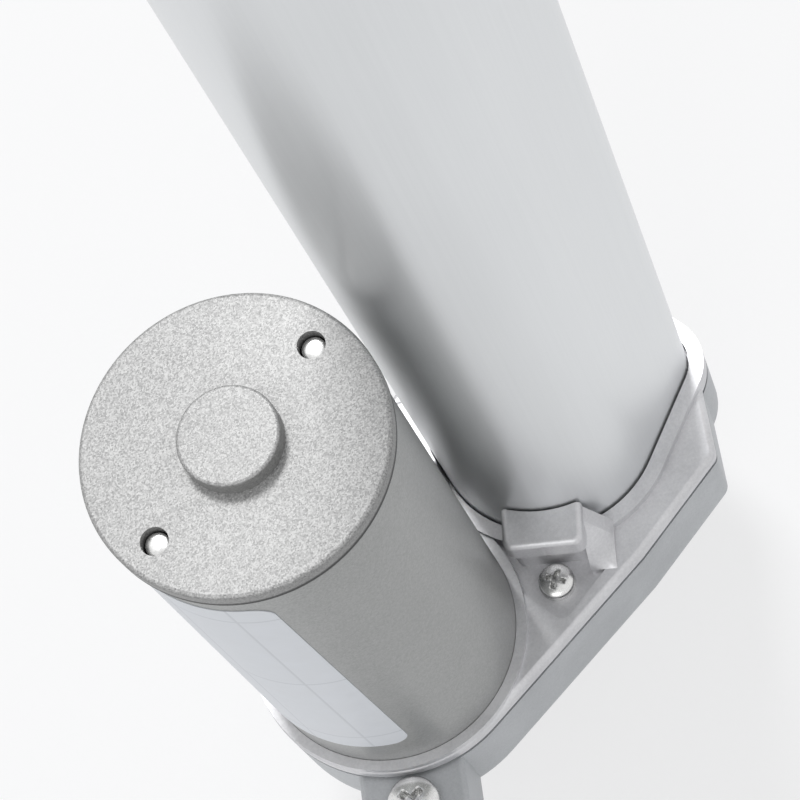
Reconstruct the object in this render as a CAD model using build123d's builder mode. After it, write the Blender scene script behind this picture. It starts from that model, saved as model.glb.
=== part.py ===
# Electric linear actuator: a geared side motor drives a lead screw inside an extruded tube
#
# Origin: centre of the rear eye's pin hole, on the rod axis
# +Z: along the rod, the way it extends
# +X: from the motor towards the tube
# Modelled with the rod fully retracted
from build123d import *
import os
from math import acos, atan2, cos, degrees, hypot, pi, radians, sin, sqrt, tan

os.makedirs("parts", exist_ok=True)

# Fits and clearances
slip_fit = 0.05  # radial, between fixed pieces that are put together by hand
running_fit = 0.04  # radial, shafts in their bushes
running_gap = 0.3  # between surfaces that move past each other
end_play = 0.3  # of a turning piece above its seat
weld = 0.5  # how far a cast-on feature reaches into the body that carries it

# Overall
stroke = 100.0
rod_show = 3.0  # bare rod left outside the front cap when retracted
eye_bore = 6.4
eye_radius = 10.0
eye_thickness = 10.0
eye_to_housing = 12.0  # from the rear eye to the housing's rear face

# Outer tube: an extruded drop shape, round towards the motor
tube_wall = 1.8
tube_reach = 19.8  # from the rod axis to the flat far side
tube_taper = 14.3  # degrees, how much each flank leans in
tube_corner = 5.0
channel_width = 13.4
channel_wall = 2.0  # between the channel's floor and the far side
channel_corner = 0.4
port_radius = 1.2  # screw ports along the tube
port_wall = 1.44  # between a port and the bore
port_angle = 35.5  # degrees round the rod axis, from +X
top_room = 11.4  # between the extended nut and the front cap's spigot

# Gear housing, two castings with a gasket between them
lobe_margin = 0.2  # how far the wall stands outside the motor collar
waist_x = -7.0
shoulder_x = 9.9
shoulder_half = 21.0
bevel_x = 18.0
bevel_half = 11.9
shoulder_corner = 1.6
rear_height = 15.0
rear_wall = 2.8
rear_floor = 3.0
rear_edge = 3.6
screw_boss_wall = 1.3
gasket_thickness = 0.8
gasket_inset = 0.35
flange_thickness = 2.0
flange_edge = 0.9
gusset = 3.0
seat_depth = 0.8  # how far the motor and the tube stand in the flange
motor_hole_radius = 6.6
motor_collar_lip = 1.35
motor_collar_height = 0.8  # over the flange
tube_collar_gap = 0.25
tube_collar_wall = 2.0
tube_collar_height = 1.5  # over the flange

# Ear at the motor end of the rear housing, on the -Y side
ear_angle = 46.5  # degrees from the long axis
ear_half = 7.2
ear_edge = 0.8
ear_screw_radius = 2.0
ear_head_radius = 3.6
ear_head_height = 2.4
ear_head_edge = 1.2
ear_screw_length = 12.0

# Waist of the front housing: tube clamp blocks and pockets for the housing screws
block_angle = 139.4  # degrees round the rod axis, from +X
block_height = 10.0
block_depth = 3.5
block_width = 10.6
block_lip = 1.35  # how far its top overhangs the screw
block_lip_height = 4.0
block_corner = 1.2
block_edge = 0.8
buttress_width = 3.0
buttress_drop = 1.0  # below the block's top
buttress_crest = 2.0  # level stretch beside the tube
buttress_reach = 2.0  # how far the foot runs past the block's face
waist_screw_gap = 0.37  # between the screw's head and the block
waist_screw_radius = 1.5
waist_head_radius = 2.5
waist_head_height = 2.0
waist_head_edge = 0.9
waist_screw_length = 12.0
pocket_depth = 1.4
pocket_near = 7.0  # from the screw towards the tube
pocket_far = 4.0  # from the screw towards the motor
pocket_side = 4.5  # from the screw outwards
pocket_wall = 2.6
pocket_corner = 1.6

# Motor
can_radius = 17.5
can_wall = 1.5
motor_length = 76.2  # from the motor's seat to the end cap's face
cap_overhang = 0.5
cap_thickness = 2.7
cap_edge = 0.5
cap_seam = 0.3
cap_boss_radius = 5.95
cap_boss_height = 2.45
cap_boss_edge = 0.4
cap_boss_wall = 1.2
cap_spigot_depth = 3.0
cap_spigot_wall = 1.5
bolt_inset = 2.1  # from the can's inner wall to a through bolt's axis
bolt_radius = 1.45
bolt_hole_radius = 1.67
bolt_recess = 1.0
bolt_edge = 0.3
shaft_radius = 1.585
motor_plate_thickness = 2.5
motor_bush_radius = 4.5
magnet_wall = 3.0
magnet_span = 118.0  # degrees
magnet_overhang = 3.0  # past each end of the core
air_gap = 0.5
core_from_seat = 20.0
slot_count = 12
slot_width = 1.6
slot_depth = 4.6
winding_inset = 1.5  # inside the core's radius
winding_length = 5.0
winding_edge = 2.0
commutator_radius = 5.0
commutator_length = 8.0
commutator_gap = 1.0  # to the windings
commutator_to_cap = 3.5
brush_size = 4.0
brush_length = 6.0
brush_holder_height = 6.0
brush_holder_gap = 1.5  # round the commutator, and left of the ring behind each brush

# Gear train
pressure_angle = 20.0
module_fast = 0.5
pinion_teeth = 12
wheel_teeth = 38
module_slow = 0.8
idler_teeth = 18
screw_wheel_teeth = 40
idler_offset = 2.38  # sideways, off the line between the motor and rod axes
fast_backlash = 0.07
slow_backlash = 0.09
addendum_factor = 0.9
dedendum_factor = 1.2
pinion_width = 5.0
wheel_width = 4.0
idler_width = 6.4
screw_wheel_width = 5.6
wheel_rim = 3.0
wheel_web_recess = 1.6
tier_gap = 0.9
axle_radius = 2.0
axle_seat = 2.0
axle_top_seat = 0.9
axle_pad_wall = 1.4
axle_pad_height = 0.6
idler_hub_wall = 1.6

# Lead screw and its bearings
journal_radius = 4.0
screw_radius = 5.0
screw_tip = 1.0  # chamfer
screw_margin = 3.0  # past the nut at full stroke
hub_radius = 6.5
bush_radius = 6.0
bush_length = 3.2
bush_seat_wall = 2.0
bearing_radius = 11.0
bearing_width = 7.0
bearing_outer_wall = 2.6
bearing_inner_wall = 2.3
bearing_lift = 0.5  # of the bearing above the flange's underside
shield_thickness = 0.3
cup_wall = 2.0
cup_mouth_gap = 2.0  # round the screw

# Rod, its nut and its front end
rod_radius = 10.0
rod_wall = 2.0
nut_length = 12.0
nut_spigot = 12.0
nut_start_gap = 1.3  # above the bearing cup when retracted
nut_flat_depth = 1.9
nut_ear_wall = 1.4
neck_length = 4.0
rod_end_spigot = 14.0

# Front cap
front_cap_thickness = 6.0
front_cap_overhang = 0.8
front_cap_edge = 1.0
front_spigot = 20.0
front_spigot_wall = 1.3
guide_wall = 1.76
wiper_wall = 2.6
wiper_depth = 4.0
wiper_lip = 0.6
wiper_lip_wall = 1.2
tube_screw_head = 2.3
tube_screw_head_depth = 1.5
tube_screw_length = 14.0

# Limit switches on a board in the tube's channel
board_thickness = 1.0
board_tail = 6.0  # below the retracted nut
board_head = 3.0  # above the extended nut
switch_height = 6.0
switch_gap = 0.8  # to the nut's flat
switch_inset = 0.2  # from the board's edges
plunger_radius = 0.8
plunger_length = 2.4
plunger_travel = 0.4
plunger_clearance = 0.35  # from the nut's flat to the plunger's tip

# Gear sizes; the idler's offset and the pitch radii set the distance between the axes
pinion_pitch = module_fast * pinion_teeth / 2
wheel_pitch = module_fast * wheel_teeth / 2
idler_pitch = module_slow * idler_teeth / 2
screw_wheel_pitch = module_slow * screw_wheel_teeth / 2
fast_distance = pinion_pitch + wheel_pitch
slow_distance = idler_pitch + screw_wheel_pitch
idler_x = -sqrt(slow_distance**2 - idler_offset**2)
idler_y = idler_offset
motor_x = idler_x - sqrt(fast_distance**2 - idler_offset**2)
fast_line = degrees(atan2(idler_y, idler_x - motor_x))
slow_line = degrees(atan2(-idler_y, -idler_x))

# Tube and housing sizes that follow, from the rod outwards
guide_bore = rod_radius + running_fit + guide_wall + slip_fit
bore_radius = guide_bore + front_spigot_wall + slip_fit
tube_radius = bore_radius + tube_wall
channel_depth = tube_reach - channel_wall
piston_radius = bore_radius - running_gap
nut_flat = piston_radius - nut_flat_depth
can_bore = can_radius - can_wall
can_fit = can_bore - slip_fit
collar_radius = can_radius + slip_fit + motor_collar_lip
lobe_radius = collar_radius + lobe_margin
ear_offset = lobe_radius + running_gap + ear_head_radius
ear_x = motor_x - ear_offset * cos(radians(ear_angle))
ear_y = -ear_offset * sin(radians(ear_angle))
waist_reach = tube_radius + tube_collar_gap + block_depth + waist_screw_gap + waist_head_radius
waist_screw_x = waist_reach * cos(radians(block_angle))
waist_screw_y = waist_reach * sin(radians(block_angle))
pocket_outer = waist_screw_y + pocket_side
waist_half = pocket_outer + pocket_wall
bolt_offset = can_bore - bolt_inset
port_reach = bore_radius + port_wall + port_radius
cap_radius = can_radius + cap_overhang
wiper_radius = rod_radius + wiper_wall
nut_ear_outer = channel_width / 2 - running_gap
nut_ear_inner = nut_ear_outer - nut_ear_wall

# Levels along the rod, worked up from the rear eye
rear_z = eye_to_housing
floor_z = rear_z + rear_floor
split_z = rear_z + rear_height
front_z = split_z + gasket_thickness
flange_z = front_z + flange_thickness
seat_z = flange_z - seat_depth
pocket_z = flange_z - pocket_depth
block_top_z = flange_z + block_height
collar_top_z = flange_z + tube_collar_height
cap_face_z = seat_z + motor_length
cap_z = cap_face_z - cap_thickness
bearing_z = front_z + bearing_lift
bearing_top_z = bearing_z + bearing_width
cup_top_z = bearing_top_z + cup_wall
nut_z = cup_top_z + nut_start_gap
nut_top_z = nut_z + nut_length
spigot_z = nut_top_z + stroke + top_room
tube_end_z = spigot_z + front_spigot
front_cap_top_z = tube_end_z + front_cap_thickness
neck_z = front_cap_top_z + rod_show
front_eye_z = neck_z + neck_length + eye_radius
idler_z = floor_z + axle_pad_height + end_play
wheel_z = idler_z + idler_width
wheel_top_z = wheel_z + wheel_width
pinion_z = wheel_z + (wheel_width - pinion_width) / 2
screw_wheel_z = wheel_z - tier_gap - screw_wheel_width
bush_top_z = screw_wheel_z - end_play
bush_z = bush_top_z - bush_length
commutator_z = cap_z - commutator_to_cap - commutator_length
core_z = seat_z + core_from_seat
core_top_z = commutator_z - commutator_gap - winding_length
brush_z = commutator_z + commutator_length / 2

# Places where pieces repeat
sides = (-1, 1)
waist_spots = [(waist_screw_x, side * waist_screw_y) for side in sides]
port_spots = [
    (port_reach * cos(radians(port_angle)), side * port_reach * sin(radians(port_angle)))
    for side in sides
]
bolt_spots = [(motor_x + side * bolt_offset, 0) for side in sides]


def finish(part, name):
    """Name a finished piece and write it as its own STEP file."""
    part.label = name
    export_step(part, f"parts/{name}.step")


def at_level(spots, z):
    """The same spots in plan, lifted to one level."""
    return [(x, y, z) for x, y in spots]


def gear_outline(module, teeth, phase, backlash):
    """Points of a spur gear's outline: involute flanks, with a tooth centred at phase degrees."""
    pitch = module * teeth / 2
    base = pitch * cos(radians(pressure_angle))
    tip = pitch + addendum_factor * module
    root = pitch - dedendum_factor * module

    def unwound(r):
        """Angle that the involute has turned through at radius r."""
        turn = acos(min(base / r, 1))
        return tan(turn) - turn

    half = pi / (2 * teeth) - backlash / (2 * pitch) + unwound(pitch)
    start = max(base, root)
    flank = [(r, half - unwound(r)) for r in (start, (start + pitch) / 2, (pitch + tip) / 2, tip)]
    if root < start:
        flank.insert(0, (root, half))
    points = []
    for tooth in range(teeth):
        centre = radians(phase) + 2 * pi * tooth / teeth
        points += [(r * cos(centre - a), r * sin(centre - a)) for r, a in flank]
        points += [(r * cos(centre + a), r * sin(centre + a)) for r, a in reversed(flank)]
    return points


# Tube outline: a circle with two flanks that lean in to a flat far side
with BuildSketch() as tube_outline:
    lean = radians(tube_taper)
    touch_x = tube_radius * sin(lean)
    touch_y = tube_radius * cos(lean)
    far_half = (tube_radius - tube_reach * sin(lean)) / cos(lean)
    Circle(tube_radius)
    Polygon(
        (0, touch_y), (touch_x, touch_y), (tube_reach, far_half),
        (tube_reach, -far_half), (touch_x, -touch_y), (0, -touch_y), align=None,
    )
    fillet(tube_outline.vertices().group_by(Axis.X)[-1], tube_corner)

with BuildSketch() as collar_inner:
    add(tube_outline.sketch)
    offset(amount=tube_collar_gap)

with BuildSketch() as collar_outer:
    add(tube_outline.sketch)
    offset(amount=tube_collar_gap + tube_collar_wall)

# Housing outline in plan: a lobe round the motor, widening to shoulders beside the tube
with BuildSketch() as housing_outline:
    with BuildLine() as edges:
        CenterArc((motor_x, 0), lobe_radius, 0, 360)
        for side in sides:
            Line((waist_x, side * waist_half), (shoulder_x, side * shoulder_half))
        Line((bevel_x, -bevel_half), (bevel_x, bevel_half))
    make_hull()
    fillet([v for v in housing_outline.vertices() if abs(v.X - shoulder_x) < 0.01], shoulder_corner)
    add(collar_outer.sketch)

# The gear case's inside, with bosses left standing for the housing screws
with BuildSketch() as cavity_outline:
    boss_radius = waist_screw_radius + screw_boss_wall
    with BuildSketch(mode=Mode.PRIVATE) as inner:
        add(housing_outline.sketch)
        offset(amount=-rear_wall)
    add(inner.sketch)
    for x, y in waist_spots:
        with Locations((x, y)):
            Circle(boss_radius, mode=Mode.SUBTRACT)
        with Locations((x, 1.5 * y)):
            Rectangle(2 * boss_radius, abs(y), mode=Mode.SUBTRACT)

with BuildSketch() as ear_outline:
    SlotCenterPoint(((motor_x + ear_x) / 2, ear_y / 2), (ear_x, ear_y), height=2 * ear_half)

# Rear housing: the gear case, with its ear and the rear eye cast on
with BuildPart() as rear_housing:
    with BuildSketch(Plane.XY.offset(rear_z)):
        add(housing_outline.sketch)
        add(ear_outline.sketch)
    extrude(amount=rear_height)
    fillet(rear_housing.faces().sort_by(Axis.Z)[0].outer_wire().edges(), rear_edge)
    rims = rear_housing.edges().group_by(Axis.Z)[-1].filter_by(GeomType.CIRCLE)
    fillet([e for e in rims if abs(e.radius - ear_half) < 0.01], ear_edge)
    with BuildSketch(Plane.XY.offset(floor_z)):
        add(cavity_outline.sketch)
    extrude(amount=rear_height, mode=Mode.SUBTRACT)
    # Seats for the lead screw's bush and the idler's axle
    with BuildSketch(Plane.XY.offset(floor_z)):
        Circle(bush_radius + bush_seat_wall)
    extrude(amount=bush_top_z - floor_z)
    with BuildSketch(Plane.XY.offset(floor_z)):
        with Locations((idler_x, idler_y)):
            Circle(axle_radius + axle_pad_wall)
    extrude(amount=axle_pad_height)
    # The eye: a tongue rounded about the pin hole, with gussets up to the case
    with BuildSketch(Plane.XZ):
        Circle(eye_radius)
        with Locations((0, (rear_z + weld) / 2)):
            Rectangle(2 * eye_radius, rear_z + weld)
    extrude(amount=eye_thickness / 2, both=True)
    with BuildSketch(Plane.YZ):
        for side in sides:
            foot = side * eye_thickness / 2
            toe = foot + side * gusset
            Polygon(
                (foot, rear_z - gusset), (foot, rear_z + weld), (toe, rear_z + weld), (toe, rear_z),
                align=None,
            )
    extrude(amount=eye_radius, both=True)
    with BuildSketch(Plane.XZ):
        Circle(eye_bore / 2)
    extrude(amount=eye_thickness, both=True, mode=Mode.SUBTRACT)
    with Locations((0, 0, bush_top_z)):
        Hole(bush_radius + slip_fit, depth=bush_length)
    with Locations((idler_x, idler_y, floor_z + axle_pad_height)):
        Hole(axle_radius, depth=axle_seat + axle_pad_height)
    with Locations(at_level(waist_spots, split_z)):
        Hole(waist_screw_radius, depth=waist_screw_length - (pocket_z - split_z))
    with Locations((ear_x, ear_y, split_z)):
        Hole(ear_screw_radius, depth=ear_screw_length)
finish(rear_housing.part, "rear_housing")

with BuildPart() as housing_gasket:
    with BuildSketch(Plane.XY.offset(split_z)):
        with BuildSketch(mode=Mode.PRIVATE) as inset:
            add(housing_outline.sketch)
            offset(amount=-gasket_inset)
        add(inset.sketch)
        add(cavity_outline.sketch, mode=Mode.SUBTRACT)
        with Locations(waist_spots):
            Circle(waist_screw_radius + slip_fit, mode=Mode.SUBTRACT)
    extrude(amount=gasket_thickness)
finish(housing_gasket.part, "housing_gasket")

# Front housing: the flange with a collar for the motor, a collar for the tube and a bearing cup
with BuildPart() as front_housing:
    with BuildSketch(Plane.XY.offset(front_z)):
        add(housing_outline.sketch)
    extrude(amount=flange_thickness)
    fillet(front_housing.faces().sort_by(Axis.Z)[-1].outer_wire().edges(), flange_edge)
    with BuildSketch(Plane.XY.offset(front_z)):
        with Locations((motor_x, 0)):
            Circle(collar_radius)
    extrude(amount=flange_thickness + motor_collar_height)
    with BuildSketch(Plane.XY.offset(front_z)):
        add(collar_outer.sketch)
    extrude(amount=flange_thickness + tube_collar_height)
    # Pockets in the waist for the housing screws' heads, open towards the middle
    with BuildSketch(Plane.XY.offset(pocket_z)):
        with Locations((waist_screw_x + (pocket_near - pocket_far) / 2, 0)):
            pocket = Rectangle(pocket_near + pocket_far, 2 * pocket_outer)
        fillet(pocket.vertices(), pocket_corner)
        with Locations((motor_x, 0)):
            Circle(collar_radius, mode=Mode.SUBTRACT)
        add(collar_outer.sketch, mode=Mode.SUBTRACT)
    extrude(amount=flange_thickness, mode=Mode.SUBTRACT)
    # Clamp blocks that hug the tube beside the pockets, each with an overhanging lip
    block_start = tube_radius - weld
    block_face = tube_radius + tube_collar_gap + block_depth
    for side in sides:
        for face, foot_z in ((block_face, front_z), (block_face + block_lip, block_top_z - block_lip_height)):
            with BuildSketch(Plane.XY.offset(foot_z)) as block:
                with Locations(Rotation(0, 0, side * block_angle)):
                    with Locations(((block_start + face) / 2, 0)):
                        Rectangle(face - block_start, block_width)
                fillet(block.vertices().sort_by_distance((0, 0))[-2:], block_corner)
            extrude(amount=block_top_z - foot_z)
    rims = front_housing.edges().group_by(Axis.Z)[-1]
    fillet([e for e in rims if hypot(e.center().X, e.center().Y) > tube_radius + weld], block_edge)
    # A buttress at each block's end, sloping down past the pocket
    for side in sides:
        turn = radians(side * block_angle)
        block_end = Plane((0, 0, 0), x_dir=(cos(turn), sin(turn), 0), z_dir=(sin(turn), -cos(turn), 0))
        near = (block_width / 2 - weld, block_top_z - buttress_drop)
        far = (block_width / 2 + buttress_width, collar_top_z)
        for out, top_z in (near, far):
            with BuildSketch(block_end.offset(side * out)):
                Polygon(
                    (block_start, front_z), (block_start, top_z), (block_start + buttress_crest, top_z),
                    (block_face + buttress_reach, flange_z), (block_face + buttress_reach, front_z),
                    align=None,
                )
        loft()
    # Seats for the motor and the tube
    with BuildSketch(Plane.XY.offset(seat_z)):
        with Locations((motor_x, 0)):
            Circle(can_radius + slip_fit)
        add(collar_inner.sketch)
    extrude(amount=flange_thickness + block_height, mode=Mode.SUBTRACT)
    # The cup that holds the lead screw's bearing inside the tube
    with BuildSketch(Plane.XY.offset(front_z)):
        Circle(piston_radius)
    extrude(amount=cup_top_z - front_z)
    with Locations((0, 0, bearing_top_z)):
        Hole(bearing_radius + slip_fit, depth=bearing_top_z - front_z)
    with Locations((0, 0, cup_top_z)):
        Hole(screw_radius + cup_mouth_gap, depth=cup_wall)
    with Locations((motor_x, 0, seat_z)):
        Hole(motor_hole_radius)
    with Locations((idler_x, idler_y, front_z + axle_top_seat)):
        Hole(axle_radius, depth=axle_top_seat)
    with Locations(at_level(waist_spots, pocket_z)):
        Hole(waist_screw_radius + slip_fit)
    with Locations(at_level(port_spots, seat_z)):
        Hole(port_radius + slip_fit)
finish(front_housing.part, "front_housing")

with BuildPart() as housing_screws:
    with BuildSketch(Plane.XY.offset(pocket_z)):
        with Locations(waist_spots):
            Circle(waist_head_radius)
    extrude(amount=waist_head_height)
    fillet(housing_screws.edges().group_by(Axis.Z)[-1], waist_head_edge)
    with BuildSketch(Plane.XY.offset(pocket_z)):
        with Locations(waist_spots):
            Circle(waist_screw_radius)
    extrude(amount=-waist_screw_length)
finish(housing_screws.part, "housing_screws")

with BuildPart() as ear_screw:
    with BuildSketch(Plane.XY.offset(split_z)):
        with Locations((ear_x, ear_y)):
            Circle(ear_head_radius)
    extrude(amount=ear_head_height)
    fillet(ear_screw.edges().group_by(Axis.Z)[-1], ear_head_edge)
    with BuildSketch(Plane.XY.offset(split_z)):
        with Locations((ear_x, ear_y)):
            Circle(ear_screw_radius)
    extrude(amount=-ear_screw_length)
finish(ear_screw.part, "ear_screw")

# Gears: each follower's tooth space faces its driver's tooth on the line between their axes
with BuildPart() as motor_pinion:
    with BuildSketch(Plane.XY.offset(pinion_z)):
        with Locations((motor_x, 0)):
            Polygon(*gear_outline(module_fast, pinion_teeth, fast_line, fast_backlash), align=None)
            Circle(shaft_radius, mode=Mode.SUBTRACT)
    extrude(amount=pinion_width)
finish(motor_pinion.part, "motor_pinion")

with BuildPart() as idler_gear:
    wheel_phase = fast_line + 180 + 180 / wheel_teeth
    with BuildSketch(Plane.XY.offset(wheel_z)):
        with Locations((idler_x, idler_y)):
            Polygon(*gear_outline(module_fast, wheel_teeth, wheel_phase, fast_backlash), align=None)
    extrude(amount=wheel_width)
    with BuildSketch(Plane.XY.offset(idler_z)):
        with Locations((idler_x, idler_y)):
            Polygon(*gear_outline(module_slow, idler_teeth, slow_line, slow_backlash), align=None)
    extrude(amount=idler_width)
    with BuildSketch(Plane.XY.offset(wheel_top_z)):
        with Locations((idler_x, idler_y)):
            Circle(axle_radius + idler_hub_wall)
    extrude(amount=front_z - end_play - wheel_top_z)
    with Locations((idler_x, idler_y, front_z - end_play)):
        Hole(axle_radius + running_fit)
finish(idler_gear.part, "idler_gear")

with BuildPart() as idler_axle:
    with BuildSketch(Plane.XY.offset(floor_z - axle_seat)):
        with Locations((idler_x, idler_y)):
            Circle(axle_radius)
    extrude(amount=front_z + axle_top_seat - (floor_z - axle_seat))
finish(idler_axle.part, "idler_axle")

with BuildPart() as screw_wheel:
    screw_wheel_phase = slow_line + 180 + 180 / screw_wheel_teeth
    with BuildSketch(Plane.XY.offset(screw_wheel_z)):
        Polygon(*gear_outline(module_slow, screw_wheel_teeth, screw_wheel_phase, slow_backlash), align=None)
    extrude(amount=screw_wheel_width)
    # A web thinner than the rim, as moulded wheels have
    with BuildSketch(Plane.XY.offset(screw_wheel_z + screw_wheel_width)):
        Circle(screw_wheel_pitch - wheel_rim)
    extrude(amount=-wheel_web_recess, mode=Mode.SUBTRACT)
    with BuildSketch(Plane.XY.offset(screw_wheel_z)):
        Circle(hub_radius)
    extrude(amount=bearing_z - screw_wheel_z)
    with Locations((0, 0, bearing_z)):
        Hole(journal_radius)
finish(screw_wheel.part, "screw_wheel")

# Lead screw and its bearings
with BuildPart() as lead_screw:
    with BuildSketch(Plane.XY.offset(bush_z + end_play)):
        Circle(journal_radius)
    extrude(amount=bearing_top_z - bush_z - end_play)
    with BuildSketch(Plane.XY.offset(bearing_top_z)):
        Circle(screw_radius)
    extrude(amount=nut_top_z + stroke + screw_margin - bearing_top_z)
    chamfer(lead_screw.edges().group_by(Axis.Z)[-1], screw_tip)
finish(lead_screw.part, "lead_screw")

with BuildPart() as screw_bush:
    with BuildSketch(Plane.XY.offset(bush_z)):
        Circle(bush_radius)
        Circle(journal_radius + running_fit, mode=Mode.SUBTRACT)
    extrude(amount=bush_length)
finish(screw_bush.part, "screw_bush")

with BuildPart() as bearing_outer_ring:
    with BuildSketch(Plane.XY.offset(bearing_z)):
        Circle(bearing_radius)
        Circle(bearing_radius - bearing_outer_wall, mode=Mode.SUBTRACT)
    extrude(amount=bearing_width)
    # Shields that close the gap to the inner ring, one thickness inside each face
    for z in (bearing_z + shield_thickness, bearing_top_z - 2 * shield_thickness):
        with BuildSketch(Plane.XY.offset(z)):
            Circle(bearing_radius - bearing_outer_wall)
            Circle(journal_radius + bearing_inner_wall + running_gap, mode=Mode.SUBTRACT)
        extrude(amount=shield_thickness)
finish(bearing_outer_ring.part, "bearing_outer_ring")

with BuildPart() as bearing_inner_ring:
    with BuildSketch(Plane.XY.offset(bearing_z)):
        Circle(journal_radius + bearing_inner_wall)
        Circle(journal_radius, mode=Mode.SUBTRACT)
    extrude(amount=bearing_width)
finish(bearing_inner_ring.part, "bearing_inner_ring")

# Motor case
with BuildPart() as motor_can:
    with BuildSketch(Plane.XY.offset(seat_z)):
        with Locations((motor_x, 0)):
            Circle(can_radius)
            Circle(can_bore, mode=Mode.SUBTRACT)
    extrude(amount=cap_z - seat_z)
finish(motor_can.part, "motor_can")

with BuildPart() as motor_end_cap:
    with BuildSketch(Plane.XY.offset(cap_z)):
        with Locations((motor_x, 0)):
            Circle(cap_radius)
    extrude(amount=cap_thickness)
    fillet(motor_end_cap.edges().group_by(Axis.Z)[-1], cap_edge)
    chamfer(motor_end_cap.edges().group_by(Axis.Z)[0], cap_seam)
    with BuildSketch(Plane.XY.offset(cap_face_z)):
        with Locations((motor_x, 0)):
            Circle(cap_boss_radius)
    extrude(amount=cap_boss_height)
    fillet(motor_end_cap.edges().group_by(Axis.Z)[-1], cap_boss_edge)
    with BuildSketch(Plane.XY.offset(cap_z)):
        with Locations((motor_x, 0)):
            Circle(can_fit)
            Circle(can_fit - cap_spigot_wall, mode=Mode.SUBTRACT)
    extrude(amount=-cap_spigot_depth)
    with Locations(at_level(bolt_spots, cap_face_z)):
        Hole(bolt_hole_radius)
    # The boss is hollow: the shaft's rear bush sits in it
    with BuildSketch(Plane.XY.offset(cap_z)):
        with Locations((motor_x, 0)):
            Circle(motor_bush_radius + slip_fit)
    extrude(amount=cap_thickness + cap_boss_height - cap_boss_wall, mode=Mode.SUBTRACT)
finish(motor_end_cap.part, "motor_end_cap")

with BuildPart() as motor_end_plate:
    with BuildSketch(Plane.XY.offset(seat_z)):
        with Locations((motor_x, 0)):
            Circle(can_fit)
            Circle(motor_bush_radius + slip_fit, mode=Mode.SUBTRACT)
        with Locations(bolt_spots):
            Circle(bolt_radius, mode=Mode.SUBTRACT)
    extrude(amount=motor_plate_thickness)
finish(motor_end_plate.part, "motor_end_plate")

with BuildPart() as motor_bolts:
    with BuildSketch(Plane.XY.offset(seat_z)):
        with Locations(bolt_spots):
            Circle(bolt_radius)
    extrude(amount=cap_face_z - bolt_recess - seat_z)
    chamfer(motor_bolts.edges().group_by(Axis.Z)[-1], bolt_edge)
finish(motor_bolts.part, "motor_bolts")

# The shaft's bushes: one in the end plate, one in the cap's boss
bush_runs = {
    "motor_front_bush": (seat_z, motor_plate_thickness),
    "motor_rear_bush": (cap_z, cap_thickness + cap_boss_height - cap_boss_wall - end_play),
}
for name, (z, height) in bush_runs.items():
    with BuildPart() as motor_bush:
        with BuildSketch(Plane.XY.offset(z)):
            with Locations((motor_x, 0)):
                Circle(motor_bush_radius)
                Circle(shaft_radius + running_fit, mode=Mode.SUBTRACT)
        extrude(amount=height)
    finish(motor_bush.part, name)

# Magnets: two arcs that leave room for the bolts
magnet_inner = can_fit - magnet_wall
core_radius = magnet_inner - air_gap
core_length = core_top_z - core_z
with BuildPart() as motor_magnets:
    with BuildSketch(Plane.XY.offset(core_z - magnet_overhang)):
        for middle in (90, -90):
            with BuildLine():
                low = CenterArc((motor_x, 0), magnet_inner, middle - magnet_span / 2, magnet_span)
                high = CenterArc((motor_x, 0), can_fit, middle - magnet_span / 2, magnet_span)
                Line(low @ 0, high @ 0)
                Line(low @ 1, high @ 1)
            make_face()
    extrude(amount=core_length + 2 * magnet_overhang)
finish(motor_magnets.part, "motor_magnets")

# Rotor
with BuildPart() as armature_core:
    with BuildSketch(Plane.XY.offset(core_z)):
        with Locations((motor_x, 0)):
            Circle(core_radius)
            with PolarLocations(core_radius - slot_depth / 2, slot_count):
                Rectangle(slot_depth + weld, slot_width, mode=Mode.SUBTRACT)
            Circle(shaft_radius, mode=Mode.SUBTRACT)
    extrude(amount=core_length)
finish(armature_core.part, "armature_core")

with BuildPart() as armature_windings:
    for z, way in ((core_z, -1), (core_top_z, 1)):
        with BuildSketch(Plane.XY.offset(z)):
            with Locations((motor_x, 0)):
                Circle(core_radius - winding_inset)
                Circle(shaft_radius, mode=Mode.SUBTRACT)
        extrude(amount=way * winding_length)
    rims = armature_windings.edges().group_by(Axis.Z)
    for rim in (rims[0], rims[-1]):
        fillet(rim.sort_by(SortBy.LENGTH)[-1:], winding_edge)
finish(armature_windings.part, "armature_windings")

with BuildPart() as commutator:
    with BuildSketch(Plane.XY.offset(commutator_z)):
        with Locations((motor_x, 0)):
            Circle(commutator_radius)
            Circle(shaft_radius, mode=Mode.SUBTRACT)
    extrude(amount=commutator_length)
finish(commutator.part, "commutator")

with BuildPart() as motor_shaft:
    with BuildSketch(Plane.XY.offset(pinion_z)):
        with Locations((motor_x, 0)):
            Circle(shaft_radius)
    extrude(amount=cap_face_z - pinion_z)
finish(motor_shaft.part, "motor_shaft")

# Brushes in a ring that is slotted right across for them
with BuildPart() as brush_holder:
    with BuildSketch(Plane.XY.offset(brush_z - brush_holder_height / 2)):
        with Locations((motor_x, 0)):
            Circle(can_fit)
            Circle(commutator_radius + brush_holder_gap, mode=Mode.SUBTRACT)
        with Locations(bolt_spots):
            Circle(bolt_radius + slip_fit, mode=Mode.SUBTRACT)
    extrude(amount=brush_holder_height)
    with BuildSketch(Plane.XZ):
        with Locations((motor_x, brush_z)):
            Rectangle(brush_size + 2 * slip_fit, brush_size + 2 * slip_fit)
    extrude(amount=can_bore - brush_holder_gap, both=True, mode=Mode.SUBTRACT)
finish(brush_holder.part, "brush_holder")

with BuildPart() as carbon_brushes:
    for side in sides:
        with BuildSketch(Plane.XZ.offset(side * (commutator_radius + running_gap))):
            with Locations((motor_x, brush_z)):
                Rectangle(brush_size, brush_size)
        extrude(amount=side * brush_length)
finish(carbon_brushes.part, "carbon_brushes")

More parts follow.
